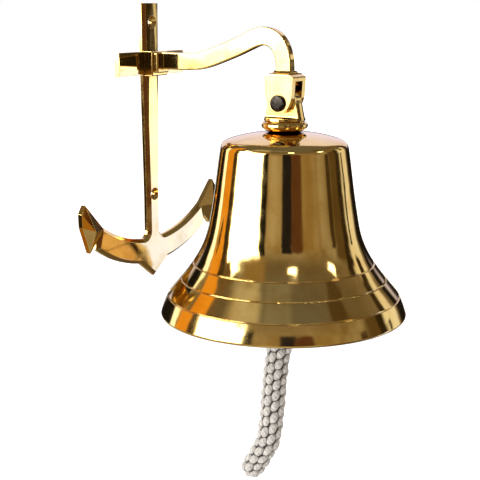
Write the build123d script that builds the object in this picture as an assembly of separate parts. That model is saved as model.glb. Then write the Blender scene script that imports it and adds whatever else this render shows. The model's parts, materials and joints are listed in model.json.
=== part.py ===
"""Wall-hung ship's bell: anchor-shaped bracket, swan-neck arm, bell, clapper and rope lanyard.

Millimetres, +Z up. The origin is on the wall plane, on the anchor's centre line, at the height of
the middle of its crossbar. The wall is the plane Y = 0 and the bell hangs out towards -Y.
"""
from build123d import *
import math
import os

os.makedirs("parts", exist_ok=True)

# ---- driving dimensions ------------------------------------------------------------------
REACH = 142.5            # wall to the bell's centre line
PIVOT_Z = -27.5          # height of the pivot bolt the bell swings on

PLATE = 6.0              # thickness of the anchor casting
SHANK_TOP = 51.0
STOCK_HALF = 43.5        # half the length of the crossbar
STOCK_H = 20.0
HOLE_TOP_Z = 35.0        # wall screw holes
HOLE_LOW_Z = -115.0
HOLE_R = 2.75
COUNTERSINK_R = 5.5
ANCHOR_TIP = -190.0
BOSS_OUT = 14.0          # front of the boss that carries the arm, from the wall
FOOT = 4.0               # thickness of the arm's foot on the boss

BAR_W = 7.0              # swan-neck bar, across
BAR_H = 14.6             # swan-neck bar, depth
BAR_Z = 2.6              # height of the bar's middle where it leaves the boss
SCREW_ZS = (BAR_Z + 4.5, BAR_Z - 4.5)
EAR_OUT = 10.0           # outer faces of the fork
EAR_IN = 5.3             # inner faces of the fork
EAR_HALF = 13.4

PIN_R = 3.5
PIN_HOLE_R = 3.55
TANG_HALF = 5.0
TANG_R = 13.0

MOUTH_R = 101.6          # eight inch mouth
MOUTH_Z = -202.0
BELL_H = 151.0
DOME_Z = MOUTH_Z + BELL_H
GROOVES = (17.0, 30.7, 43.9)   # heights of the turned rings above the mouth

STUD_R = 6.0
EYE_Z = -86.0            # centre of the wire the clapper link hangs on
EYE_WIRE = 2.2
LINK_DROP = 14.0         # distance between the two wires the link joins
LINK_WIRE = 1.9
CLAP_Z = EYE_Z - LINK_DROP
CLAP_WIRE = 2.4
ROD_R = 3.5
BALL_R = 18.0
BALL_Z = -172.0
TAIL_Z = -206.0          # centre of the wire the lanyard hangs on
TAIL_WIRE = 2.2

CORD_R = 2.6             # cord of the lanyard's loop
ROPE_R = 10.8            # plaited lanyard
ROPE_TOP_Z = -226.0
BEND_Y, BEND_Z = 9.6, -285.0      # where the lanyard bends, from the bell's centre line
BEND_GAP = 5.0

AXIS_Y = -REACH


# ---- helpers -----------------------------------------------------------------------------
def save(shape, name):
    shape.label = name
    export_step(shape, f"parts/{name}.step")


def one(shape):
    """The single solid inside a shape."""
    return shape.solids()[0]


def rod(radius, start, end):
    """Round bar between two points."""
    a, b = Vector(*start), Vector(*end)
    base = Plane(origin=a, z_dir=b - a)
    return extrude(base * Circle(radius), (b - a).length)


def turned(points, x=0.0, y=0.0):
    """Solid of revolution about a vertical axis, from (radius, height) points."""
    face = make_face(Plane.XZ * Polyline(*points, close=True))
    return Pos(x, y, 0) * revolve(face, Axis.Z)


def cross_ring(radius, wire, centre, normal):
    """Ring of round wire about a centre."""
    return Plane(origin=centre, z_dir=normal) * Torus(radius, wire)


# ---- wall bracket ------------------------------------------------------------------------
def shank_outline():
    """Half of the shank, wider above the crossbar than below it."""
    return make_face(Plane.XZ * Polyline(
        (-10.8, SHANK_TOP), (10.8, SHANK_TOP), (10.3, 0), (7.9, -118), (7.9, -168),
        (-7.9, -168), (-7.9, -118), (-10.3, 0), close=True))


def arms_outline():
    """Crescent arms that run into a pointed crown below the shank."""
    upper_r, upper_z = 121.0, -34.0
    lower_r, lower_z = 131.0, -46.0
    reach_up, reach_low = 70.0, 76.0
    up_end = upper_z - math.sqrt(upper_r**2 - reach_up**2)
    low_end = lower_z - math.sqrt(lower_r**2 - reach_low**2)
    low_in = lower_z - math.sqrt(lower_r**2 - 19.0**2)
    up = ThreePointArc((-reach_up, up_end), (0, upper_z - upper_r), (reach_up, up_end))
    mid_x = 50.0
    mid_z = lower_z - math.sqrt(lower_r**2 - mid_x**2)
    right = ThreePointArc((reach_low, low_end), (mid_x, mid_z), (19.0, low_in))
    left = ThreePointArc((-19.0, low_in), (-mid_x, mid_z), (-reach_low, low_end))
    wire = Wire([
        up, Line((reach_up, up_end), (reach_low, low_end)), right,
        Line((19.0, low_in), (0, ANCHOR_TIP)), Line((0, ANCHOR_TIP), (-19.0, low_in)), left,
        Line((-reach_low, low_end), (-reach_up, up_end))])
    return Plane.XZ * make_face(wire)


def palm(side):
    """Arrowhead palm: a low faceted point standing proud of the arm."""
    rim = [(88.5, -113.0), (93.0, -120.0), (92.5, -131.5), (84.0, -154.5),
           (75.0, -145.0), (66.5, -136.5)]
    low = [Vector(side * x, 0, z) for x, z in rim]
    high = [Vector(side * x, -4.5, z) for x, z in rim]
    peak = Vector(side * 82.5, -10.5, -135.5)
    faces = [Face(Wire.make_polygon(low))]
    for i in range(len(rim)):
        j = (i + 1) % len(rim)
        faces.append(Face(Wire.make_polygon([low[i], low[j], high[j], high[i]])))
        faces.append(Face(Wire.make_polygon([high[i], high[j], peak])))
    return Solid(Shell(faces))


def shank_relief():
    """What polishing takes off the shank's front edges, fading out above the arms."""
    radius = 100.0
    bulge = Pos(0, radius - PLATE, SHANK_TOP) * Rot(-0.107, 0, 0) * Cylinder(radius, 600)
    region = Pos(0, -6.0, (SHANK_TOP - 119.0) / 2) * Box(24.0, 12.0, SHANK_TOP + 119.0)
    return region - bulge


def near(edges, test):
    return [e for e in edges if test(e.center())]


def anchor_plate():
    out = (0, -1, 0)
    body = one(extrude(shank_outline(), PLATE, dir=out) + extrude(arms_outline(), PLATE, dir=out))
    corners = near(body.edges().filter_by(Axis.Y), lambda c: abs(c.X) < 9 and -158 < c.Z < -150)
    body = one(fillet(corners, 6.5))
    ridge = near(body.edges(), lambda c: c.Y < -PLATE + 0.1 and c.Z < -128)
    body = one(chamfer(ridge, 3.0)) - shank_relief()
    bulge = Pos(0, 80.0 - PLATE, 0) * Rot(0, 90, 0) * Cylinder(80.0, 200)
    stock = Pos(0, -PLATE / 2, 0) * Box(2 * STOCK_HALF, PLATE, STOCK_H) & bulge
    boss = Pos(0, -BOSS_OUT / 2, 0) * Box(20.6, BOSS_OUT, STOCK_H + 1.0)
    boss = fillet(near(boss.edges(), lambda c: c.Y < -BOSS_OUT + 0.1), 1.2)
    body = body + stock + boss + palm(1) + palm(-1)
    for z in (HOLE_TOP_Z, HOLE_LOW_Z):
        sink = COUNTERSINK_R - HOLE_R
        drill = turned([(0, 0), (COUNTERSINK_R + 1, 0), (COUNTERSINK_R, 1.0),
                        (HOLE_R, 1.0 + sink), (HOLE_R, 20), (0, 20)])
        body = body - Pos(0, -PLATE - 1.0, z) * Rot(-90, 0, 0) * drill
    for z in SCREW_ZS:
        body = body - Pos(0, 0, z) * Rot(90, 0, 0) * screw_cavity(0.05)
    return one(body)


def screw_cavity(slack):
    """Countersunk seat and clearance hole, mouth at Z = 0 and running up +Z."""
    return turned([(0, -0.01), (4.0, -0.01), (4.0, 0.6), (2.0 + slack, 2.6 + slack),
                   (2.0 + slack, BOSS_OUT + 1), (0, BOSS_OUT + 1)])


def arm_screw(z):
    """Countersunk screw driven from the wall side through the boss into the arm's foot."""
    body = turned([(0, 0.2), (3.8, 0.2), (3.8, 0.6), (2.0, 2.6), (2.0, 27.0), (1.4, 28.0), (0, 28.0)])
    slot = Pos(0, 0, 0.6) * Box(10, 1.0, 1.2)
    return one(Pos(0, 0, z) * Rot(90, 0, 0) * (body - slot))


def bar_path():
    """Centre line of the swan-neck bar in the plane X = 0."""
    def at(y, z):
        return (0, AXIS_Y + y, z)
    straight = Line(at(REACH - BOSS_OUT - 0.5, BAR_Z), at(96, BAR_Z))
    sweep_up = Spline(at(96, BAR_Z), at(60, 10.6), at(38, 19.0), at(18.5, 24.9), at(7.0, 20.2),
                      at(1.6, 11.0), at(0, -4.0), tangents=((0, -1, 0), (0, 0, -1)))
    return Wire([straight, sweep_up])


def fork():
    """Clevis with two shield-shaped ears, below the swan neck."""
    def at(y, z):
        return (AXIS_Y + y, PIVOT_Z + z)
    side = Wire([
        Line(at(-8.6, 25.5), at(8.0, 25.5)),
        ThreePointArc(at(8.0, 25.5), at(9.6, 23.0), at(EAR_HALF - 0.6, 21.2)),
        ThreePointArc(at(EAR_HALF - 0.6, 21.2), at(EAR_HALF - 0.1, 20.6), at(EAR_HALF, 19.8)),
        Line(at(EAR_HALF, 19.8), at(12.9, 11.0)),
        Spline(at(12.9, 11.0), at(11.2, 1.0), at(7.4, -5.4), at(0, -8.0), at(-7.4, -5.4),
               at(-11.2, 1.0), at(-12.9, 11.0), tangents=((-0.06, -1), (-0.06, 1))),
        Line(at(-12.9, 11.0), at(-EAR_HALF, 19.8)),
        ThreePointArc(at(-EAR_HALF, 19.8), at(0.1 - EAR_HALF, 20.6), at(0.6 - EAR_HALF, 21.2)),
        ThreePointArc(at(0.6 - EAR_HALF, 21.2), at(-9.9, 23.0), at(-8.6, 25.5))])
    body = Pos(-EAR_OUT, 0, 0) * extrude(Plane.YZ * make_face(side), 2 * EAR_OUT)
    wide = EAR_OUT
    thin = BAR_W / 2
    top = PIVOT_Z + 25.6
    front = Wire([
        Line((-wide, PIVOT_Z - 9), (wide, PIVOT_Z - 9)),
        Line((wide, PIVOT_Z - 9), (wide, PIVOT_Z + 22.0)),
        ThreePointArc((wide, PIVOT_Z + 22.0), (wide - 0.5, PIVOT_Z + 23.1), (wide - 1.6, PIVOT_Z + 23.6)),
        ThreePointArc((wide - 1.6, PIVOT_Z + 23.6), (thin + 1.2, PIVOT_Z + 24.1), (thin, top)),
        Line((thin, top), (-thin, top)),
        ThreePointArc((-thin, top), (-thin - 1.2, PIVOT_Z + 24.1), (1.6 - wide, PIVOT_Z + 23.6)),
        ThreePointArc((1.6 - wide, PIVOT_Z + 23.6), (0.5 - wide, PIVOT_Z + 23.1), (-wide, PIVOT_Z + 22.0)),
        Line((-wide, PIVOT_Z + 22.0), (-wide, PIVOT_Z - 9))])
    waist = Pos(0, AXIS_Y + 30, 0) * extrude(Plane.XZ * make_face(front), 60)
    body = one(body & waist)
    slot_top = PIVOT_Z + 17.4
    slot = Pos(0, AXIS_Y, slot_top - 20) * Box(2 * EAR_IN, 60, 40)
    return body - slot


def bracket_arm():
    path = bar_path()
    section = Plane(origin=path @ 0, x_dir=(1, 0, 0), z_dir=path % 0) * RectangleRounded(
        BAR_W, BAR_H, 1.1)
    bar = sweep(section, path=path)
    foot = Pos(0, -BOSS_OUT - FOOT / 2, 1.2) * Box(16.6, FOOT, 18.0)
    foot = fillet(foot.edges().filter_by(Axis.Y), 2.0)
    foot = fillet(near(foot.edges(), lambda c: c.Y < -BOSS_OUT - FOOT + 0.1), 1.5)
    body = bar + foot + fork()
    body = body - rod(PIN_R + 0.02, (-12, AXIS_Y, PIVOT_Z), (12, AXIS_Y, PIVOT_Z))
    for z in SCREW_ZS:
        body = body - rod(2.0, (0, -BOSS_OUT + 1, z), (0, -28.2, z))
    return one(body)


def pivot_bolt():
    """Slotted round-head bolt, head on the left of the fork."""
    dome = turned([(0, -11.2), (PIN_R, -11.2), (PIN_R, 10.0), (6.6, 10.0), (6.6, 11.8),
                   (6.0, 12.7), (4.0, 13.2), (0, 13.4)])
    dome = dome + turned([(0, -17.2), (2.7, -17.2), (3.3, -16.6), (3.3, -11.0), (0, -11.0)])
    slot = Pos(0, 0, 13.2) * Box(1.4, 16, 2.2)
    return one(Pos(0, AXIS_Y, PIVOT_Z) * Rot(0, -90, 0) * (dome - slot))


def pivot_washer():
    ring = Circle(6.6) - Circle(PIN_R)
    return one(Pos(EAR_OUT, AXIS_Y, PIVOT_Z) * Rot(0, 90, 0) * extrude(ring, 1.2))


def pivot_nut():
    """Hexagon nut on the right of the fork."""
    body = extrude(RegularPolygon(6.2, 6), 5.0) - extrude(Circle(3.3), 5.0)
    return one(Pos(EAR_OUT + 1.2, AXIS_Y, PIVOT_Z) * Rot(0, 90, 0) * body)


# ---- bell --------------------------------------------------------------------------------
def lip_band():
    """Outside of the steep band between the lip and the lowest ring, as (radius, height)."""
    return Spline((MOUTH_R, 2.2), (95.9, GROOVES[0]), tangents=((-0.3, 1), (-0.44, 1)))


def outer_curve():
    """Outside of the bell from the lowest ring to the shoulder, as (radius, height)."""
    points = [(95.9, GROOVES[0]), (91.0, 22.8), (79.2, 37.4), (69.8, 52.0),
              (63.6, 67.0), (60.4, 82.0), (57.2, 102.0), (53.4, 130.0), (52.2, 138.0)]
    return Spline(*points, tangents=((-0.85, 1), (-0.15, 1)))


def inner_curve():
    """Inside of the bell, thicker at the sound bow above the lip."""
    points = [(48.0, 134.0), (49.2, 127.0), (52.9, 101.0), (56.0, 81.5), (58.9, 67.0),
              (64.3, 51.8), (72.9, 36.4), (84.6, 19.6), (98.2, 0.8)]
    return Spline(*points, tangents=((0.15, -1), (0.7, -1)))


def bell_shell():
    outer, inner = outer_curve(), inner_curve()
    shoulder = Spline((52.2, 138.0), (49.3, 143.2), (43.5, 145.8), tangents=((-0.15, 1), (-1, 0.27)))
    dome = ThreePointArc((43.5, 145.8), (28.5, 149.3), (12.8, BELL_H))
    seat = Line((12.8, BELL_H), (5.95, BELL_H))
    bore = Line((5.95, BELL_H), (5.95, 144.6))
    flat = Line((5.95, 144.6), (12.5, 144.6))
    roof = ThreePointArc((12.5, 144.6), (27.0, 142.9), (40.0, 139.4))
    corner = Spline((40.0, 139.4), (45.4, 137.4), (48.0, 134.0), tangents=((1, -0.3), (0.15, -1)))
    lip = ThreePointArc((98.2, 0.8), (100.4, 0.0), (MOUTH_R, 2.2))
    face = make_face(Wire([
        lip_band(), outer, shoulder, dome, seat, bore, flat, roof, corner, inner, lip]))
    body = revolve(Plane.XZ * face, Axis.Z)
    for height in GROOVES:
        body = body - Pos(0, 0, height) * Torus(outer_radius(height) + 0.15, 0.75)
    return one(Pos(0, AXIS_Y, MOUTH_Z) * body)


def outer_radius(height):
    """Outside radius of the bell at a height above the mouth."""
    edge = outer_curve()
    low, high = 0.0, 1.0
    for _ in range(40):
        mid = (low + high) / 2
        if (edge @ mid).Y < height:
            low = mid
        else:
            high = mid
    return (edge @ low).X


def crown_yoke():
    """Cast knob on the dome with a flat tang for the fork and a threaded stud below."""
    z = DOME_Z
    outline = [(0, PIVOT_Z + TANG_R), (12.6, PIVOT_Z + TANG_R), (13.6, PIVOT_Z + 3.0),
               (14.8, -30.5), (16.6, -39.0), (17.0, -41.2), (16.2, -42.0), (17.4, -42.8),
               (18.6, -44.2), (19.0, -45.8), (18.3, -47.4), (16.4, -49.0), (14.2, -50.2),
               (12.6, z), (STUD_R - 0.1, z), (STUD_R - 0.1, z - 16.5),
               (0, z - 16.5)]
    body = turned(outline)
    for side in (-1, 1):
        wing = Pos(side * (TANG_HALF + 15), 0, -24.6) * Box(30, 60, 30)
        wing = fillet(near(wing.edges().filter_by(Axis.Y), lambda c: c.Z < -30 and abs(c.X) < 10), 1.4)
        body = body - wing
    keep = rod(TANG_R, (-30, 0, PIVOT_Z), (30, 0, PIVOT_Z)) + Pos(0, 0, PIVOT_Z - 49.8) * Box(80, 80, 100)
    body = body & keep
    body = body - rod(PIN_HOLE_R, (-20, 0, PIVOT_Z), (20, 0, PIVOT_Z))
    body = body - Pos(0, 0, z - 11.5) * Cylinder(2.5, 14.0)
    return one(Pos(0, AXIS_Y, 0) * body)


def crown_washer():
    ring = Circle(12.0) - Circle(STUD_R)
    return one(Pos(0, AXIS_Y, DOME_Z - 8.4) * extrude(ring, 1.9))


def crown_nut():
    body = extrude(RegularPolygon(10.5, 6), 7.0) - extrude(Circle(STUD_R - 0.1), 7.0)
    return one(Pos(0, AXIS_Y, DOME_Z - 15.4) * body)


def clapper_eyebolt():
    """Eye screwed up into the stud; the clapper link hangs in it."""
    ring = 5.4
    body = cross_ring(ring, EYE_WIRE, (0, 0, EYE_Z + ring), (0, 1, 0))
    body = body + rod(2.5, (0, 0, EYE_Z + 2 * ring - 0.6), (0, 0, DOME_Z - 4.6))
    body = one(body)
    return one(Pos(0, AXIS_Y, 0) * body)


# ---- clapper -----------------------------------------------------------------------------
def clapper_link():
    """Long welded link between the eyebolt and the clapper's eye."""
    bend = EYE_WIRE + LINK_WIRE + 0.5
    low = CLAP_Z + bend
    upper = ThreePointArc((0, -bend, EYE_Z), (0, 0, EYE_Z + bend), (0, bend, EYE_Z))
    lower = ThreePointArc((0, bend, low), (0, 0, low - bend), (0, -bend, low))
    path = Wire([upper, Line((0, bend, EYE_Z), (0, bend, low)), lower,
                 Line((0, -bend, low), (0, -bend, EYE_Z))])
    section = Plane(origin=path @ 0, z_dir=path % 0) * Circle(LINK_WIRE)
    body = sweep(section, path=path)
    return one(Pos(0, AXIS_Y, 0) * body)


def clapper_rod():
    """Rod with a forged eye at the top; the ball is fixed on its lower end."""
    ring = 5.6
    drop = ring - (LINK_WIRE + CLAP_WIRE + 0.4)
    body = cross_ring(ring, CLAP_WIRE, (0, 0, CLAP_Z - drop), (0, 1, 0))
    start = CLAP_Z - drop - ring - 1.0
    seat = BALL_Z + BALL_R - 1
    stem = turned([(0, start + 1.2), (2.6, start), (ROD_R, start - 3.0), (ROD_R, seat),
                   (3.0, seat), (3.0, BALL_Z - 6.0), (0, BALL_Z - 6.0)])
    body = one(body + stem)
    return one(Pos(0, AXIS_Y, 0) * body)


def clapper_ball():
    body = Pos(0, 0, BALL_Z) * Sphere(BALL_R)
    body = body - Pos(0, 0, BALL_Z + 7) * Cylinder(3.0, 26.0)
    body = body - Pos(0, 0, BALL_Z + BALL_R) * Cylinder(ROD_R, 2.0)
    body = body - Pos(0, 0, BALL_Z - BALL_R) * Cylinder(2.2, 24.2)
    return one(Pos(0, AXIS_Y, 0) * body)


def clapper_tail_eye():
    """Eye screwed into the underside of the ball; the lanyard hangs in it."""
    ring = 6.5
    body = cross_ring(ring, TAIL_WIRE, (0, 0, TAIL_Z + ring), (0, 1, 0))
    body = body + rod(2.2, (0, 0, TAIL_Z + 2 * ring - 0.5), (0, 0, BALL_Z - 6.2))
    return one(Pos(0, AXIS_Y, 0) * body)


# ---- lanyard -----------------------------------------------------------------------------
def lanyard_becket():
    """Loop of cord through the tail eye, its two ends laid together below."""
    bend = TAIL_WIRE + CORD_R + 0.4
    foot = TAIL_Z - 12.0
    arc = ThreePointArc((0, -bend, TAIL_Z), (0, 0, TAIL_Z + bend), (0, bend, TAIL_Z))
    front = Spline((0, bend, TAIL_Z), (0, 3.4, foot), tangents=((0, 0, -1), (0, 0, -1)))
    back = Spline((0, -3.4, foot), (0, -bend, TAIL_Z), tangents=((0, 0, 1), (0, 0, 1)))
    path = Wire([back, arc, front])
    section = Plane(origin=path @ 0, z_dir=path % 0) * Circle(CORD_R)
    body = sweep(section, path=path)
    body = body + rod(6.2, (0, 0, foot + 0.5), (0, 0, ROPE_TOP_Z))
    return one(Pos(0, AXIS_Y, 0) * body)


def lanyard_seizing():
    """Whipping bound round the two cords above the plait."""
    ring = Circle(8.0) - Circle(6.2)
    body = extrude(ring, 7.0)
    body = fillet(body.edges(), 0.8)
    return one(Pos(0, AXIS_Y, ROPE_TOP_Z) * body)


def rope_line(points, start, end):
    at = [(0, AXIS_Y + y, z) for y, z in points]
    return Spline(*at, tangents=((0, *start), (0, *end)))


def rope(path):
    section = Plane(origin=path @ 0, z_dir=path % 0) * Circle(ROPE_R)
    return sweep(section, path=path)


BEND_DIR = (0.1, -1.0)


def lanyard_sennit_upper():
    """Upper half of the plait, ending in a cup over the bend."""
    path = rope_line([(0, ROPE_TOP_Z), (4.8, -240.0), (7.6, -262.0), (BEND_Y, BEND_Z)],
                     (0, -1), BEND_DIR)
    body = rope(path)
    hinge = (0, AXIS_Y + BEND_Y, BEND_Z)
    square = Plane(origin=hinge, z_dir=(0, *BEND_DIR))
    body = body - square * Box(60, 60, 2 * BEND_GAP)
    body = body - Pos(*hinge) * Sphere(ROPE_R + 0.2)
    return one(body)


def lanyard_sennit_lower():
    """Lower half of the plait, starting in a ball at the bend and curving to one side."""
    path = rope_line([(BEND_Y, BEND_Z), (11.6, -306.0), (15.2, -322.0), (21.8, -334.0)],
                     BEND_DIR, (0.7, -1))
    body = rope(path) + Pos(0, AXIS_Y + BEND_Y, BEND_Z) * Sphere(ROPE_R)
    return one(body)


def lanyard_end_knot():
    """Rounded crown knot that finishes the plait."""
    path = rope_line([(21.8, -334.0), (26.4, -341.0), (29.4, -347.0)], (0.7, -1), (0.45, -1))
    end = Plane(origin=path @ 1, z_dir=path % 1)
    cap = end * Sphere(ROPE_R)
    half = end * Pos(0, 0, 20) * Box(60, 60, 40)
    return one(rope(path) + (cap & half))


PARTS = {
    "anchor_plate": anchor_plate,
    "bracket_arm": bracket_arm,
    "arm_screw_upper": lambda: arm_screw(SCREW_ZS[0]),
    "arm_screw_lower": lambda: arm_screw(SCREW_ZS[1]),
    "pivot_bolt": pivot_bolt,
    "pivot_washer": pivot_washer,
    "pivot_nut": pivot_nut,
    "crown_yoke": crown_yoke,
    "bell_shell": bell_shell,
    "crown_washer": crown_washer,
    "crown_nut": crown_nut,
    "clapper_eyebolt": clapper_eyebolt,
    "clapper_link": clapper_link,
    "clapper_rod": clapper_rod,
    "clapper_ball": clapper_ball,
    "clapper_tail_eye": clapper_tail_eye,
    "lanyard_becket": lanyard_becket,
    "lanyard_seizing": lanyard_seizing,
    "lanyard_sennit_upper": lanyard_sennit_upper,
    "lanyard_sennit_lower": lanyard_sennit_lower,
    "lanyard_end_knot": lanyard_end_knot,
}

for name, make in PARTS.items():
    save(make(), name)
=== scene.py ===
import json
import math

import bpy
import numpy as np
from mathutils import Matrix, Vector


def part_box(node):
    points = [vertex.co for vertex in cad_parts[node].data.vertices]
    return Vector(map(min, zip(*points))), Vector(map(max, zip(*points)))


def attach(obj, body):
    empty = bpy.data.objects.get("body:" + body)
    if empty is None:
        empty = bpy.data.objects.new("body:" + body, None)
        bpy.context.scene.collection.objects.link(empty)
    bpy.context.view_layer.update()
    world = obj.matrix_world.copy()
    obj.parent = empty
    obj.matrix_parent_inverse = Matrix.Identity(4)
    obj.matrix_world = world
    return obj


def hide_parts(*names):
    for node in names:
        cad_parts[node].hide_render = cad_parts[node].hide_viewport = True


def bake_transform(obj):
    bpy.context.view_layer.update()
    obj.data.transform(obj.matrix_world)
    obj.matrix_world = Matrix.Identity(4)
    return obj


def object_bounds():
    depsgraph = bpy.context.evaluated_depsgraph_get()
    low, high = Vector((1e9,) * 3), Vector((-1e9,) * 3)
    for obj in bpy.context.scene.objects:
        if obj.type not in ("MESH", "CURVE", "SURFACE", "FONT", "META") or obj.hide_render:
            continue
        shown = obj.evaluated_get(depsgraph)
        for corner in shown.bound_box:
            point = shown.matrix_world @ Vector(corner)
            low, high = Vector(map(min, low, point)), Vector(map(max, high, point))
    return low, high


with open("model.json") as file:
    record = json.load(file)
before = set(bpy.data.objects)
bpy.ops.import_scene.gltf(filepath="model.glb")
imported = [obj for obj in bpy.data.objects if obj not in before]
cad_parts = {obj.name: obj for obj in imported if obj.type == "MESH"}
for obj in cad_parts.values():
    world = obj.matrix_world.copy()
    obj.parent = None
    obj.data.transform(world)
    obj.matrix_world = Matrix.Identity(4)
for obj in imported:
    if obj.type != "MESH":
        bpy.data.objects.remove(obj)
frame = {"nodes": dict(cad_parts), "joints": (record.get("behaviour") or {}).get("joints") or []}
cad_low, cad_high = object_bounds()

MM = 0.001
NODES = frame["nodes"]
JOINTS = {joint["name"]: Vector(joint["pos_m"]) for joint in frame["joints"]}

# ---- camera ------------------------------------------------------------------------------
CAMERA_AT = Vector((-0.7397, -0.6156, 0.0460))
CAMERA_LOOK = Vector((0.8017, 0.5604, -0.2079)).normalized()
LENS = 81.49
SENSOR = 36.0
NEAREST = 0.01

scene = bpy.context.scene
camera = bpy.data.objects.new("camera", bpy.data.cameras.new("camera"))
camera.data.lens = LENS
camera.data.sensor_width = SENSOR
camera.data.clip_start = NEAREST
camera.location = CAMERA_AT
camera.rotation_mode = "QUATERNION"
camera.rotation_quaternion = CAMERA_LOOK.to_track_quat("-Z", "Y")
scene.collection.objects.link(camera)
scene.camera = camera
scene.view_settings.view_transform = "Standard"


# ---- shader graph helper -----------------------------------------------------------------
class Graph:
    """Adds nodes to a tree and links them; every socket value may be a number or an output."""

    def __init__(self, tree):
        self.tree = tree
        tree.nodes.clear()

    def put(self, socket, value):
        if value is None:
            return
        if isinstance(value, bpy.types.NodeSocket):
            self.tree.links.new(value, socket)
        elif hasattr(socket.default_value, "__len__") and isinstance(value, tuple):
            size = len(socket.default_value)
            socket.default_value = (tuple(value) + (1.0,))[:size]
        else:
            socket.default_value = value

    def node(self, kind, inputs=None, **settings):
        made = self.tree.nodes.new(kind)
        for key, value in settings.items():
            setattr(made, key, value)
        for key, value in (inputs or {}).items():
            self.put(made.inputs[key], value)
        return made

    def math(self, operation, a, b=None, c=None, clamp=False):
        made = self.node("ShaderNodeMath", operation=operation, use_clamp=clamp)
        for socket, value in zip(made.inputs, (a, b, c)):
            self.put(socket, value)
        return made.outputs[0]

    def vector(self, operation, a, b=None):
        made = self.node("ShaderNodeVectorMath", operation=operation)
        self.put(made.inputs[0], a)
        self.put(made.inputs[1], b)
        return made.outputs["Value" if operation in ("DOT_PRODUCT", "LENGTH") else "Vector"]

    def ramp(self, value, low, high, start=0.0, end=1.0):
        made = self.node(
            "ShaderNodeMapRange",
            {0: value, 1: low, 2: high, 3: start, 4: end},
            interpolation_type="SMOOTHSTEP",
        )
        return made.outputs[0]

    def mix(self, amount, a, b, blend="MIX"):
        made = self.node("ShaderNodeMix", data_type="RGBA", blend_type=blend)
        self.put(made.inputs[0], amount)
        self.put(made.inputs[6], a)
        self.put(made.inputs[7], b)
        return made.outputs[2]

    def noise(self, vector, scale, detail=2.0, roughness=0.5, colour=False):
        inputs = {"Vector": vector, "Scale": scale, "Detail": detail, "Roughness": roughness}
        made = self.node("ShaderNodeTexNoise", inputs)
        return made.outputs["Color" if colour else "Fac"]

    def stretch(self, vector, scale):
        return self.node("ShaderNodeMapping", {"Vector": vector, "Scale": scale}).outputs[0]

    def openness(self, reach):
        """1 in the open, less in a corner or gap within reach."""
        made = self.node("ShaderNodeAmbientOcclusion", {"Distance": reach}, samples=8)
        return made.outputs["AO"]


# ---- studio ------------------------------------------------------------------------------
# What the polished brass sees round it, as linear colours.
ROOM = (0.29, 0.205, 0.095)
ROOM_RIGHT = (0.185, 0.13, 0.055)
UPPER_WALL = (0.16, 0.125, 0.085)
CEILING = (0.155, 0.145, 0.135)
PALE_FLOOR = (0.50, 0.47, 0.40)
SHADED_FLOOR = (0.13, 0.10, 0.065)
BLACK = (0.012, 0.010, 0.008)
BROWN = (0.15, 0.10, 0.045)
AMBER = (0.98, 0.42, 0.04)
WHITE = (1.0, 1.0, 1.0)
COOL = (0.95, 1.22, 2.9)

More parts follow.
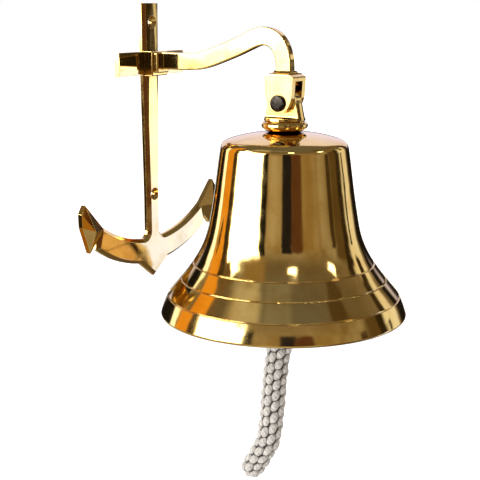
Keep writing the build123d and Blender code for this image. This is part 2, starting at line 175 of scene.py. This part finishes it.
# Windows, walls, cards and flags round the object, in degrees: azimuth from the camera (+ is
# its right), elevation, half width, half height, softness, then colour and brightness. Later
# ones cover earlier ones.
SCREENS = [
    # wall on the right
    (98, 6, 18, 16, 8, BROWN, 0.75),
    # big window
    (-64, 17, 26, 19, 3, WHITE, 8.0),
    # its soft top edge
    (-58, 33, 14, 6, 8, (0.5, 0.48, 0.45), 1.0),
    # glow above it
    (-60, 55, 20, 10, 14, (0.55, 0.52, 0.46), 1.0),
    # its cut corners
    (-47, 38, 16, 11, 10, ROOM, 1.0),
    (-90, 33, 8, 9, 4, BROWN, 1.1),
    (-89, -7, 4, 7, 3, BROWN, 1.4),
    # post beside the amber wall
    (-97, 8, 4, 24, 2, BROWN, 0.35),
    # amber wall
    (-109, 18, 8, 30, 2, AMBER, 0.95),
    # side window
    (-124, 6, 5, 16, 3, WHITE, 2.0),
    # flag behind it
    (-147, 12, 19, 28, 5, BLACK, 1.0),
    (-138, 33, 10, 8, 5, BROWN, 0.6),
    # slit of light
    (-167, 6, 4, 16, 3, WHITE, 1.1),
    # frame of the big window
    (-35, 10, 5, 17, 3, BLACK, 1.0),
    # plain upright screen
    (3, 8, 8, 17, 3, (0.018, 0.016, 0.022), 1.0),
    # curtain beside it
    (18, 6, 8, 18, 5, (0.11, 0.05, 0.025), 1.0),
    # pale patch of ceiling
    (-12, 60, 22, 8, 14, (0.24, 0.23, 0.22), 1.0),
    # ceiling lamps
    (12, 42, 6, 3.2, 2, WHITE, 6.0),
    (70, 32, 5, 3, 2, WHITE, 6.0),
    # dark beam
    (74, 48, 9, 6, 4, BROWN, 0.6),
    # door frame
    (76, 6, 3.5, 8, 2, BROWN, 0.4),
    # post on the right
    (103, 7, 6, 20, 4, BROWN, 0.22),
    # right-hand side window
    (120, 4, 12, 20, 5, WHITE, 0.95),
    # flag behind it
    (150, 10, 14, 22, 5, BLACK, 1.0),
    # slit of light
    (167, 6, 4, 10, 3, WHITE, 0.9),
    # flag behind the object
    (180, -15, 12, 16, 4, BLACK, 1.0),
    # backdrop
    (180, 24, 34, 21, 8, (0.95, 0.90, 1.20), 1.0),
    # small flags for the arm and fork
    (113, 0, 2.2, 5, 2, BLACK, 1.0),
    (119, 20, 4, 8, 3, BROWN, 0.3),
    # cards for the anchor shank
    (107, -20, 3.8, 16.4, 1.6, WHITE, 2.6),
    (107, -28, 3.8, 20, 9, COOL, 1.15),
    # amber card and dark strips for the anchor arm
    (102.4, -14, 1.7, 6, 1, (0.50, 0.25, 0.06), 1.0),
    (103.6, -11, 0.5, 4, 0.6, BLACK, 1.0),
    (101.3, -13, 0.4, 5, 0.4, BLACK, 1.0),
    # card for the swan neck
    (-66, -6.5, 6, 5.5, 2, WHITE, 3.4),
    # flag for the shank side
    (-79, -11, 6, 7, 2, BROWN, 0.2),
    # amber cards for the palm
    (37, -15, 4, 3, 2, AMBER, 0.4),
    (-94, -38, 8, 6, 3, AMBER, 0.35),
]
WOBBLE = (9.0, 6.0)  # how far the glass and walls wander from true, in degrees


def studio_world():
    """Light and reflections by direction only; the camera itself sees plain white."""
    world = bpy.data.worlds.new("studio")
    world.use_nodes = True
    scene.world = world
    g = Graph(world.node_tree)
    back = Vector((-CAMERA_LOOK.x, -CAMERA_LOOK.y, 0)).normalized()
    right = Vector((CAMERA_LOOK.y, -CAMERA_LOOK.x, 0)).normalized()
    way = g.node("ShaderNodeTexCoord").outputs["Generated"]
    height = g.node("ShaderNodeSeparateXYZ", {0: way}).outputs["Z"]
    to_right = g.vector("DOT_PRODUCT", way, tuple(right))
    to_back = g.vector("DOT_PRODUCT", way, tuple(back))
    azimuth = g.math("DEGREES", g.math("ARCTAN2", to_right, to_back))
    elevation = g.math("DEGREES", g.math("ARCSINE", height))
    bent = g.node("ShaderNodeSeparateXYZ", {0: g.noise(way, 5.0, 3.0, colour=True)}).outputs
    azimuth = g.math("MULTIPLY_ADD", g.math("SUBTRACT", bent["X"], 0.5), WOBBLE[0], azimuth)
    elevation = g.math("MULTIPLY_ADD", g.math("SUBTRACT", bent["Y"], 0.5), WOBBLE[1], elevation)
    cloud = g.noise(way, 2.2, 3.0)
    room = g.mix(g.ramp(azimuth, 35, 80), ROOM, ROOM_RIGHT)
    room = g.mix(g.ramp(cloud, 0.35, 0.7), room, g.mix(0.25, room, WHITE, "SCREEN"))
    below = g.mix(g.ramp(azimuth, 20, 60), PALE_FLOOR, SHADED_FLOOR)
    colour = g.mix(g.ramp(elevation, -26, -12), below, room)
    colour = g.mix(g.ramp(elevation, 14, 40), colour, UPPER_WALL)
    colour = g.mix(g.ramp(elevation, 38, 62), colour, CEILING)
    for az, el, wide, high, soft, paint, power in SCREENS:
        off = g.math("ABSOLUTE", g.math("WRAP", g.math("SUBTRACT", azimuth, az), 180.0, -180.0))
        up = g.math("ABSOLUTE", g.math("SUBTRACT", elevation, el))
        inside = g.math(
            "MULTIPLY",
            g.ramp(off, wide + soft / 2, wide - soft / 2),
            g.ramp(up, high + soft / 2, high - soft / 2),
        )
        colour = g.mix(inside, colour, tuple(power * c for c in paint))
    seen = g.node("ShaderNodeLightPath").outputs["Is Camera Ray"]
    colour = g.mix(seen, colour, WHITE)
    background = g.node("ShaderNodeBackground", {"Color": colour, "Strength": 1.0})
    out = g.node("ShaderNodeOutputWorld")
    g.tree.links.new(background.outputs[0], out.inputs[0])


def area_light(name, place, size, power, aim):
    lamp = bpy.data.lights.new(name, "AREA")
    lamp.shape = "DISK"
    lamp.size = size
    lamp.energy = power
    made = bpy.data.objects.new(name, lamp)
    made.location = place
    made.rotation_mode = "QUATERNION"
    made.rotation_quaternion = (Vector(aim) - Vector(place)).to_track_quat("-Z", "Y")
    made.visible_glossy = False
    scene.collection.objects.link(made)


FLOOR_DROP = 0.16
FLOOR_HALF = 12.0


def studio_floor():
    """Plain pale floor that glows more with distance and so meets the white without an edge."""
    mesh = bpy.data.meshes.new("floor")
    level = cad_low.z - FLOOR_DROP
    size = FLOOR_HALF
    mesh.from_pydata(
        [(-size, -size, level), (size, -size, level), (size, size, level), (-size, size, level)],
        [],
        [(0, 1, 2, 3)],
    )
    floor = bpy.data.objects.new("floor", mesh)
    scene.collection.objects.link(floor)
    floor.visible_glossy = False
    paint = bpy.data.materials.new("floor")
    paint.use_nodes = True
    g = Graph(paint.node_tree)
    place = g.node("ShaderNodeNewGeometry").outputs["Position"]
    tone = g.mix(g.noise(place, 3.0), (0.93, 0.93, 0.93), (0.95, 0.95, 0.94))
    glow = g.ramp(g.vector("LENGTH", place), 0.8, 3.0, 0.45, 1.0)
    shader = g.node(
        "ShaderNodeBsdfPrincipled",
        {"Base Color": tone, "Roughness": 0.9, "Emission Color": tone, "Emission Strength": glow},
    )
    out = g.node("ShaderNodeOutputMaterial")
    g.tree.links.new(shader.outputs[0], out.inputs[0])
    mesh.materials.append(paint)


studio_world()
studio_floor()
area_light("key", (-1.9, -1.2, 1.5), 1.4, 16.0, (0, -0.1, -0.15))
area_light("fill", (1.2, -2.4, 0.9), 2.2, 4.0, (0, -0.1, -0.15))
area_light("top", (0.2, 0.2, 2.6), 2.6, 30.0, (0, -0.1, -0.4))


# ---- materials ---------------------------------------------------------------------------
def new_material(name):
    made = bpy.data.materials.new(name)
    made.use_nodes = True
    return made, Graph(made.node_tree)


def close_material(g, shader):
    out = g.node("ShaderNodeOutputMaterial")
    g.tree.links.new(shader.outputs[0], out.inputs[0])


BRASS = (0.90, 0.64, 0.23)
DEEP_BRASS = (0.78, 0.50, 0.15)
# near-black laid into the brass's corners: partly tarnish, partly painted shade
TARNISH_AND_SHADE = (0.045, 0.028, 0.012)
# near-black laid into the steel's recesses as painted shade
RECESS_SHADE = (0.01, 0.008, 0.006)
YARNS = 3


def polished_brass(name, gloss, wave, grain, edge, recess, lathe=False):
    """Hand-polished yellow brass: slow waviness, fine buffing or turning lines, darker patches,
    and tarnish with painted shade in the corners. Lengths are in metres."""
    made, g = new_material(name)
    place = g.node("ShaderNodeNewGeometry").outputs["Position"]
    patch = g.ramp(g.noise(place, 38.0, 4.0, 0.6), 0.42, 0.72)
    colour = g.mix(patch, BRASS, DEEP_BRASS)
    fine = g.noise(place, 900.0, 2.0)
    colour = g.mix(g.math("MULTIPLY", fine, 0.12), colour, tuple(0.86 * c for c in BRASS))
    openness = g.openness(recess)
    # painted shade with tarnish: near-black where the occlusion test finds a corner within reach
    colour = g.mix(g.ramp(openness, 0.72, 0.3), colour, TARNISH_AND_SHADE)
    rough = g.ramp(g.noise(place, 55.0, 3.0), 0.3, 0.75, gloss, gloss + 0.07)
    if lathe:
        lines = g.noise(g.stretch(place, (8.0, 8.0, 2600.0)), 1.0, 2.0)
    else:
        lines = g.noise(g.stretch(place, (900.0, 900.0, 60.0)), 1.0, 2.0)
    rough = g.math("ADD", rough, g.math("MULTIPLY", g.math("SUBTRACT", lines, 0.5), 0.05))
    rounded = g.node("ShaderNodeBevel", {"Radius": edge}, samples=4).outputs[0]
    slow = g.node(
        "ShaderNodeBump",
        {"Strength": 1.0, "Distance": wave, "Height": g.noise(place, 34.0, 1.0), "Normal": rounded},
    ).outputs[0]
    bump = g.node(
        "ShaderNodeBump",
        {"Strength": 1.0, "Distance": grain, "Height": lines, "Normal": slow},
    ).outputs[0]
    shader = g.node(
        "ShaderNodeBsdfPrincipled",
        {"Base Color": colour, "Metallic": 1.0, "Roughness": rough, "Normal": bump},
    )
    close_material(g, shader)
    return made


def steel(name, light, dark):
    """Blotched, slightly rough metal for the screws, or darkened metal for the pivot bolt, with
    painted shade in the recesses.
    """
    made, g = new_material(name)
    place = g.node("ShaderNodeNewGeometry").outputs["Position"]
    blot = g.ramp(g.noise(place, 420.0, 4.0, 0.65), 0.4, 0.7)
    # painted shade: the blotched metal goes near-black where the occlusion test finds a recess
    colour = g.mix(g.ramp(g.openness(0.003), 0.6, 0.2), g.mix(blot, light, dark), RECESS_SHADE)
    rough = g.ramp(g.noise(place, 700.0, 3.0), 0.3, 0.7, 0.24, 0.42)
    bump = g.node(
        "ShaderNodeBump",
        {"Strength": 0.6, "Distance": 0.00004, "Height": g.noise(place, 1500.0, 3.0)},
    ).outputs[0]
    shader = g.node(
        "ShaderNodeBsdfPrincipled",
        {"Base Color": colour, "Metallic": 1.0, "Roughness": rough, "Normal": bump},
    )
    close_material(g, shader)
    return made


def cotton(name, light, dark, lay):
    """Laid cotton: yarns wound round each strand, loose fibres, and painted shade in the grooves
    between the yarns and in the gaps between the strands.
    """
    made, g = new_material(name)
    place = g.node("ShaderNodeNewGeometry").outputs["Position"]
    strand = g.node("ShaderNodeAttribute", attribute_name="strand").outputs["Vector"]
    parts = g.node("ShaderNodeSeparateXYZ", {0: strand}).outputs
    turn = g.math("ARCTAN2", parts["Y"], parts["X"])
    phase = g.math("MULTIPLY_ADD", turn, float(YARNS), g.math("MULTIPLY", parts["Z"], lay))
    twist = g.math("MULTIPLY_ADD", g.math("SINE", phase), 0.5, 0.5)
    fibre = g.noise(place, 2400.0, 4.0, 0.7)
    wool = g.noise(place, 520.0, 4.0, 0.65)
    height = g.math("ADD", g.math("MULTIPLY", twist, 0.5), g.math("MULTIPLY", fibre, 1.0))
    bump = g.node(
        "ShaderNodeBump", {"Strength": 0.9, "Distance": 0.00035, "Height": height}
    ).outputs[0]
    colour = g.mix(g.ramp(wool, 0.35, 0.65), light, tuple(0.66 * c for c in light))
    # painted shade in the grooves between the yarns
    colour = g.mix(g.math("MULTIPLY", g.ramp(twist, 0.45, 0.0), 0.28), colour, dark)
    # painted shade in the gaps between the strands
    colour = g.mix(g.ramp(g.openness(0.005), 0.9, 0.54), colour, dark)
    shader = g.node(
        "ShaderNodeBsdfPrincipled",
        {
            "Base Color": colour,
            "Roughness": 0.92,
            "Sheen Weight": 0.35,
            "Sheen Roughness": 0.4,
            "Subsurface Weight": 0.08,
            "Subsurface Radius": (0.0012, 0.001, 0.0008),
            "Subsurface Scale": 1.0,
            "Normal": bump,
        },
    )
    close_material(g, shader)
    return made


MATERIALS = {
    "bell_brass": polished_brass(
        "bell_brass", gloss=0.045, wave=0.0002, grain=4e-6, edge=0.0003, recess=0.0025, lathe=True
    ),
    "bracket_brass": polished_brass(
        "bracket_brass", gloss=0.05, wave=0.0004, grain=3e-6, edge=0.0006, recess=0.007
    ),
    "crown_brass": polished_brass(
        "crown_brass", gloss=0.09, wave=0.0016, grain=6e-6, edge=0.0007, recess=0.0022
    ),
    "clapper_brass": polished_brass(
        "clapper_brass", gloss=0.13, wave=0.0004, grain=2e-5, edge=0.0004, recess=0.007
    ),
    "bolt_brass": steel("bolt_brass", light=(0.045, 0.037, 0.03), dark=(0.012, 0.010, 0.008)),
    "screw_steel": steel("screw_steel", light=(0.62, 0.61, 0.58), dark=(0.34, 0.32, 0.28)),
    # for the cords, dark is the colour of their painted shade
    "cotton_cord": cotton(
        "cotton_cord", light=(0.64, 0.61, 0.565), dark=(0.04, 0.03, 0.022), lay=2600.0
    ),
    "seizing_twine": cotton(
        "seizing_twine", light=(0.80, 0.76, 0.68), dark=(0.22, 0.18, 0.13), lay=5200.0
    ),
}


# ---- rope --------------------------------------------------------------------------------
def smooth_line(points, step):
    """Catmull-Rom line through the points, resampled at an even step."""
    p = np.array(points, float)
    p = np.vstack([2 * p[0] - p[1], p, 2 * p[-1] - p[-2]])
    dense = []
    for i in range(1, len(p) - 2):
        a, b, c, d = p[i - 1], p[i], p[i + 1], p[i + 2]
        for t in np.linspace(0, 1, 40, endpoint=False):
            dense.append(
                0.5
                * (2 * b + (c - a) * t + (2 * a - 5 * b + 4 * c - d) * t**2
                   + (3 * b - a - 3 * c + d) * t**3)
            )
    dense.append(p[-2])
    dense = np.array(dense)
    run = np.concatenate([[0], np.cumsum(np.linalg.norm(np.diff(dense, axis=0), axis=1))])
    at = np.arange(0, run[-1], step)
    return np.stack([np.interp(at, run, dense[:, k]) for k in range(3)], 1), at


class Line:
    """A line with a frame that doesn't twist: point, tangent and two side vectors at a length."""

    def __init__(self, points, side=(1, 0, 0), step=0.0004):
        self.points, self.at = smooth_line(points, step)
        self.length = self.at[-1]
        self.tangents = np.gradient(self.points, axis=0)
        self.tangents /= np.linalg.norm(self.tangents, axis=1)[:, None]
        self.sides = np.zeros_like(self.points)
        last = np.array(side, float)
        for i, t in enumerate(self.tangents):
            last = last - t * (last @ t)
            last /= np.linalg.norm(last)
            self.sides[i] = last

    def frame(self, s):
        def pick(values):
            return np.stack([np.interp(s, self.at, values[:, k]) for k in range(3)], -1)

        point, tangent, side = pick(self.points), pick(self.tangents), pick(self.sides)
        beyond = s - np.clip(s, 0, self.length)
        point = point + tangent * beyond[..., None]
        return point, tangent, side, np.cross(tangent, side)


def tube(path, radii, around, lobes=0, depth=0.0, pitch=1.0):
    """Closed tube along a path: vertices, faces and the strand coordinate of each vertex. With
    lobes, the tube is grooved into that many strands, which go round once per pitch."""
    path = np.array(path, float)
    run = np.concatenate([[0], np.cumsum(np.linalg.norm(np.diff(path, axis=0), axis=1))])
    tangent = np.gradient(path, axis=0)
    tangent /= np.linalg.norm(tangent, axis=1)[:, None]
    side = np.cross(tangent[0], (0.3, 0.5, 0.8))
    verts, strand = [], []
    angle = np.linspace(0, 2 * math.pi, around, endpoint=False)
    for i, point in enumerate(path):
        side = side - tangent[i] * (side @ tangent[i])
        side /= np.linalg.norm(side)
        other = np.cross(tangent[i], side)
        wave = 1.0 + depth * (np.cos(lobes * angle - 2 * math.pi * run[i] / pitch * lobes) - 1) / 2
        r = radii[i] * wave
        ring = point + np.outer(np.cos(angle) * r, side) + np.outer(np.sin(angle) * r, other)
        verts.extend(ring)
        strand.extend(np.stack([np.cos(angle), np.sin(angle), np.full(around, run[i])], 1))
    faces = []
    for i in range(len(path) - 1):
        for k in range(around):
            a, b = i * around + k, i * around + (k + 1) % around
            faces.append((a, b, b + around, a + around))
    for end, place in ((0, path[0]), (len(path) - 1, path[-1])):
        centre = len(verts)
        verts.append(place)
        strand.append((1.0, 0.0, run[end]))
        for k in range(around):
            a, b = end * around + k, end * around + (k + 1) % around
            faces.append((b, a, centre) if end == 0 else (a, b, centre))
    return verts, faces, strand


def strand_object(name, tubes, material):
    verts, faces, strand = [], [], []
    for v, f, s in tubes:
        base = len(verts)
        verts.extend(v)
        strand.extend(s)
        faces.extend(tuple(i + base for i in face) for face in f)
    mesh = bpy.data.meshes.new(name)
    mesh.from_pydata([tuple(v) for v in verts], [], faces)
    mesh.polygons.foreach_set("use_smooth", [True] * len(mesh.polygons))
    attribute = mesh.attributes.new("strand", "FLOAT_VECTOR", "POINT")
    attribute.data.foreach_set("vector", np.array(strand, np.float32).ravel())
    mesh.materials.append(MATERIALS[material])
    mesh.update()
    made = bpy.data.objects.new(name, mesh)
    scene.collection.objects.link(made)
    return made


STRANDS = 4
COLUMNS = 2 * STRANDS
LEVEL = 4.95 * MM        # rise from one lobe of a strand to its next
CORD = 3.45 * MM         # half thickness of a strand at its lobes
INNER = 4.7 * MM         # mean distance of a strand from the middle of the plait
SWING = 2.9 * MM         # how far a strand comes out at a lobe and goes in between two
SWAY = 2.9 * MM          # how far a lobe is drawn out along the plait
UNEVEN_OUT = 0.24 * MM
UNEVEN_ALONG = 0.42 * MM
STEPS = 26               # points per level
TAPER = 9.0 * MM         # length over which the plait rounds off at each end


def lanyard_line():
    """The hanging line of the plait, from the seizing down, in the plane of the bell's swing."""
    low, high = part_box("lanyard_seizing")
    axis_y = (low.y + high.y) / 2
    fall = [(0, -221), (1.6, -228), (4.8, -240), (7.6, -262), (9.6, -285), (11.6, -306),
            (15.2, -322), (21.8, -334), (26.8, -342), (33.0, -354.5)]
    return Line([(0.0, axis_y + y * MM, z * MM) for y, z in fall])


def crown_sennit():
    """Round crown sennit of four strands: each strand makes one outside lobe per level and
    moves on one column, so that the lobes of neighbouring columns stand staggered."""
    line = lanyard_line()
    count = int(line.length / LEVEL)
    rng = np.random.default_rng(11)
    lift = rng.normal(0, UNEVEN_OUT, (STRANDS, count + 2))
    slip = rng.normal(0, UNEVEN_ALONG, (STRANDS, count + 2))
    start, end = -0.35, count + 0.3
    tubes = []
    for j in range(STRANDS):
        t = np.linspace(start, end, int((end - start) * STEPS))
        lobe = np.clip(np.round(t).astype(int), 0, count + 1)
        wave = np.cos(2 * math.pi * t)
        outside = 0.5 + 0.5 * wave
        s = LEVEL * t + SWAY * np.sin(2 * math.pi * t) + slip[j][lobe] * outside
        s = np.minimum(s, line.length - 0.4 * MM - (end - t) * 0.2 * MM)
        from_end = np.clip((line.length - s) / TAPER, 0, 1)
        round_off = np.sqrt(np.clip(1 - (1 - from_end) ** 2, 0, 1))
        from_top = np.clip((s + 1.0 * MM) / TAPER, 0, 1)
        radius = INNER + SWING * wave + lift[j][lobe] * outside
        radius = radius * (0.1 + 0.9 * round_off) * (0.55 + 0.45 * from_top)
        thick = CORD * (0.80 + 0.20 * wave)
        thick = thick * (0.70 + 0.30 * round_off) * (0.75 + 0.25 * from_top)
        turn = 2 * math.pi * (j / STRANDS + t / COLUMNS)
        point, tangent, side, other = line.frame(s)
        path = point + side * (radius * np.cos(turn))[:, None]
        path = path + other * (radius * np.sin(turn))[:, None]
        tubes.append(tube(path, thick, 14))
    made = strand_object("lanyard_sennit", tubes, "cotton_cord")
    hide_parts("lanyard_sennit_upper", "lanyard_sennit_lower", "lanyard_end_knot")
    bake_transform(made)


def cord_becket():
    """Three-strand cord passed through the tail eye; both parts run down under the seizing."""
    y, z = JOINTS["lanyard_swing"].yz
    bend = 5.2 * MM
    neck = 3.4 * MM
    foot = 3.0 * MM
    foot_z = z - 17.5 * MM
    neck_z = z - 12.0 * MM
    ear_z = z - 3.0 * MM
    points = [(0, y - foot, foot_z), (0, y - neck, neck_z), (0, y - bend, ear_z)]
    for k in range(9):
        a = math.pi * (1 - k / 8)
        points.append((0, y + bend * math.cos(a), z + bend * math.sin(a)))
    points += [(0, y + bend, ear_z), (0, y + neck, neck_z), (0, y + foot, foot_z)]
    line, _ = smooth_line(points, 0.35 * MM)
    radii = np.full(len(line), 2.6 * MM)
    cord = tube(line, radii, 30, lobes=3, depth=0.22, pitch=9.0 * MM)
    made = strand_object("lanyard_cord_loop", [cord], "cotton_cord")
    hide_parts("lanyard_becket")
    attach(made, "lanyard_upper")


def twine_seizing():
    """Round turns of twine, with a second, shorter layer of riding turns over them."""
    low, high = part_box("lanyard_seizing")
    x, y = (low.x + high.x) / 2, (low.y + high.y) / 2
    outer = (high.x - low.x) / 2
    twine = 0.62 * MM
    tubes = []
    for radius, inset in ((outer - 2.3 * twine, twine), (outer - twine, 2.2 * twine)):
        start, end = high.z - inset, low.z + inset
        turns = (start - end) / (2.02 * twine)
        angle = np.linspace(0, 2 * math.pi * turns, int(48 * turns))
        z = np.linspace(start, end, len(angle))
        path = np.stack([x + radius * np.cos(angle), y + radius * np.sin(angle), z], 1)
        tubes.append(tube(path, np.full(len(path), twine), 10))
    made = strand_object("lanyard_twine_seizing", tubes, "seizing_twine")
    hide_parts("lanyard_seizing")
    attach(made, "lanyard_upper")


crown_sennit()
cord_becket()
twine_seizing()


# ---- carried-over CAD nodes ---------------------------------------------------------------
FINISH = {
    "anchor_plate": "bracket_brass",
    "bracket_arm": "bracket_brass",
    "arm_screw_upper": "screw_steel",
    "arm_screw_lower": "screw_steel",
    "pivot_bolt": "bolt_brass",
    "pivot_washer": "bolt_brass",
    "pivot_nut": "bolt_brass",
    "crown_yoke": "crown_brass",
    "bell_shell": "bell_brass",
    "crown_washer": "clapper_brass",
    "crown_nut": "clapper_brass",
    "clapper_eyebolt": "clapper_brass",
    "clapper_link": "clapper_brass",
    "clapper_rod": "clapper_brass",
    "clapper_ball": "clapper_brass",
    "clapper_tail_eye": "clapper_brass",
}
for name, finish in FINISH.items():
    NODES[name].data.materials.clear()
    NODES[name].data.materials.append(MATERIALS[finish])
